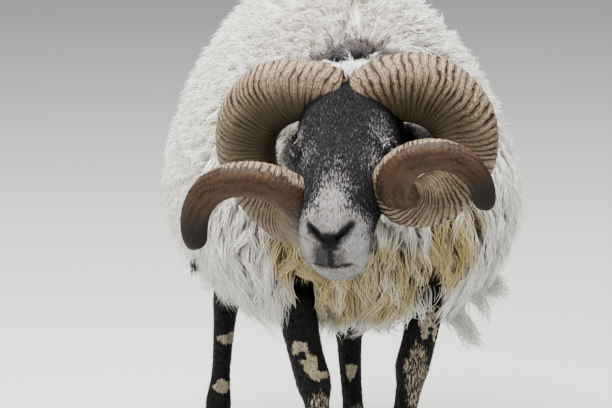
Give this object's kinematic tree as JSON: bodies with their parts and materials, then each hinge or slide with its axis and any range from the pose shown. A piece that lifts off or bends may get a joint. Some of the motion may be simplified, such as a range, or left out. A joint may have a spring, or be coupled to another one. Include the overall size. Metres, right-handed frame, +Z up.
{
  "type": "blackface ram",
  "caption": "Life-size still model of a horned blackface ram, walking with its head lowered, with ribbed spiral horns, a fleece of rounded clumps and cloven feet.",
  "frame": {"origin": "on the floor, under the middle of the whole animal's box", "axes": "+Z up, -Y the way the ram walks, +X its left side"},
  "size_m": [0.5876, 1.2078, 0.8469],
  "materials": {
    "fleece": "matte white to cream wool in soft locks, yellower on the chest",
    "face_hair": "short black hair with grey speckles and a pale muzzle",
    "ear_hair": "short pale and grey hair over thin skin",
    "leg_hair": "short black hair with cream patches",
    "horn": "ribbed tan horn with dark growth lines, browner and smoother at the tips",
    "eye": "wet dark amber eye with a wide black pupil",
    "claw": "dull dark horn"
  },
  "bodies": {
    "root": {"torso": "fleece", "neck": "fleece", "tail": "fleece", "scrotum": "fleece", "head": "face_hair", "ear_left": "ear_hair", "ear_right": "ear_hair", "eye_left": "eye", "eye_right": "eye", "horn_left": "horn", "horn_right": "horn", "leg_front_left": "leg_hair", "leg_front_right": "leg_hair", "leg_hind_left": "leg_hair", "leg_hind_right": "leg_hair", "claw_front_left_inner": "claw", "claw_front_left_outer": "claw", "claw_front_right_inner": "claw", "claw_front_right_outer": "claw", "claw_hind_left_inner": "claw", "claw_hind_left_outer": "claw", "claw_hind_right_inner": "claw", "claw_hind_right_outer": "claw"}
  },
  "joints": []
}
